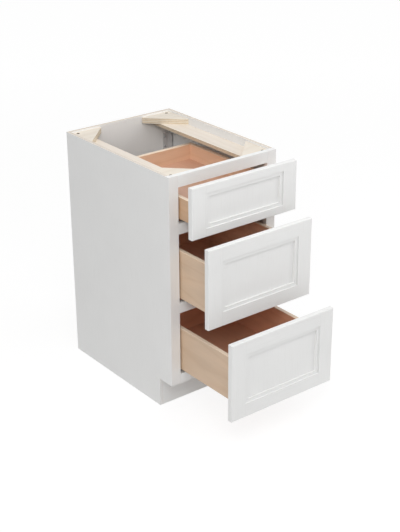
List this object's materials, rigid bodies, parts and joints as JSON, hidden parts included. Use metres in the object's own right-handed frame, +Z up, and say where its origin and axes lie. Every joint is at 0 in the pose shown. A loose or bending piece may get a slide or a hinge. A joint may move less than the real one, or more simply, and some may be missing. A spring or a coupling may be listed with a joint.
{
  "type": "base cabinet with drawers",
  "caption": "Face-frame base cabinet with open top and toe kick, full-overlay drawer fronts with recessed panels, and dovetailed drawer boxes on full-extension slides.",
  "frame": {"origin": "on the floor under the middle of the toe-kick board, which is the middle of its underside", "axes": "+X to the right of someone facing the front, +Y to the wall, +Z up; the drawer fronts face -Y"},
  "size_m": [0.4572, 0.9256, 0.8763],
  "materials": {
    "white_paint": "satin white paint",
    "frame_paint": "satin white paint",
    "plywood": "clear-coated birch plywood",
    "block_wood": "raw plywood",
    "box_wood": "clear-coated solid birch",
    "box_floor": "clear-coated birch plywood",
    "slide_steel": "zinc-plated steel"
  },
  "bodies": {
    "carcass": {"left_side_panel": "white_paint", "right_side_panel": "white_paint", "bottom_panel": "plywood", "back_panel": "white_paint", "toe_kick_board": "white_paint", "left_stile": "frame_paint", "right_stile": "frame_paint", "top_rail": "frame_paint", "upper_middle_rail": "frame_paint", "lower_middle_rail": "frame_paint", "bottom_rail": "frame_paint", "front_left_corner_block": "block_wood", "front_right_corner_block": "block_wood", "rear_left_corner_block": "block_wood", "rear_right_corner_block": "block_wood", "left_top_plank": "plywood", "right_top_plank": "plywood", "top_left_cabinet_slide": "slide_steel", "top_right_cabinet_slide": "slide_steel", "middle_left_cabinet_slide": "slide_steel", "middle_right_cabinet_slide": "slide_steel", "bottom_left_cabinet_slide": "slide_steel", "bottom_right_cabinet_slide": "slide_steel"},
    "top_drawer": {"top_drawer_front_frame": "white_paint", "top_drawer_front_panel": "white_paint", "top_drawer_box_front": "box_wood", "top_drawer_box_back": "box_wood", "top_drawer_floor": "box_floor", "top_drawer_left_side": "box_wood", "top_left_drawer_slide": "slide_steel", "top_drawer_right_side": "box_wood", "top_right_drawer_slide": "slide_steel"},
    "top_middle_slides": {"top_left_middle_slide": "slide_steel", "top_right_middle_slide": "slide_steel"},
    "middle_drawer": {"middle_drawer_front_frame": "white_paint", "middle_drawer_front_panel": "white_paint", "middle_drawer_box_front": "box_wood", "middle_drawer_box_back": "box_wood", "middle_drawer_floor": "box_floor", "middle_drawer_left_side": "box_wood", "middle_left_drawer_slide": "slide_steel", "middle_drawer_right_side": "box_wood", "middle_right_drawer_slide": "slide_steel"},
    "middle_middle_slides": {"middle_left_middle_slide": "slide_steel", "middle_right_middle_slide": "slide_steel"},
    "bottom_drawer": {"bottom_drawer_front_frame": "white_paint", "bottom_drawer_front_panel": "white_paint", "bottom_drawer_box_front": "box_wood", "bottom_drawer_box_back": "box_wood", "bottom_drawer_floor": "box_floor", "bottom_drawer_left_side": "box_wood", "bottom_left_drawer_slide": "slide_steel", "bottom_drawer_right_side": "box_wood", "bottom_right_drawer_slide": "slide_steel"},
    "bottom_middle_slides": {"bottom_left_middle_slide": "slide_steel", "bottom_right_middle_slide": "slide_steel"}
  },
  "joints": [
    {"name": "top_drawer_slide", "type": "slide", "parent": "carcass", "child": "top_drawer", "axis": [0, -1, 0], "range_m": [-0.0927, 0.4026]},
    {"name": "top_middle_slides_slide", "type": "slide", "parent": "carcass", "child": "top_middle_slides", "axis": [0, -1, 0], "range_m": [-0.04635, 0.2013]},
    {"name": "middle_drawer_slide", "type": "slide", "parent": "carcass", "child": "middle_drawer", "axis": [0, -1, 0], "range_m": [-0.176, 0.3193]},
    {"name": "middle_middle_slides_slide", "type": "slide", "parent": "carcass", "child": "middle_middle_slides", "axis": [0, -1, 0], "range_m": [-0.088, 0.15965]},
    {"name": "bottom_drawer_slide", "type": "slide", "parent": "carcass", "child": "bottom_drawer", "axis": [0, -1, 0], "range_m": [-0.296, 0.1993]},
    {"name": "bottom_middle_slides_slide", "type": "slide", "parent": "carcass", "child": "bottom_middle_slides", "axis": [0, -1, 0], "range_m": [-0.148, 0.09965]}
  ],
  "couplings": [
    {"joint": "top_middle_slides_slide", "follows": "top_drawer_slide", "ratio": 0.5},
    {"joint": "middle_middle_slides_slide", "follows": "middle_drawer_slide", "ratio": 0.5},
    {"joint": "bottom_middle_slides_slide", "follows": "bottom_drawer_slide", "ratio": 0.5}
  ]
}
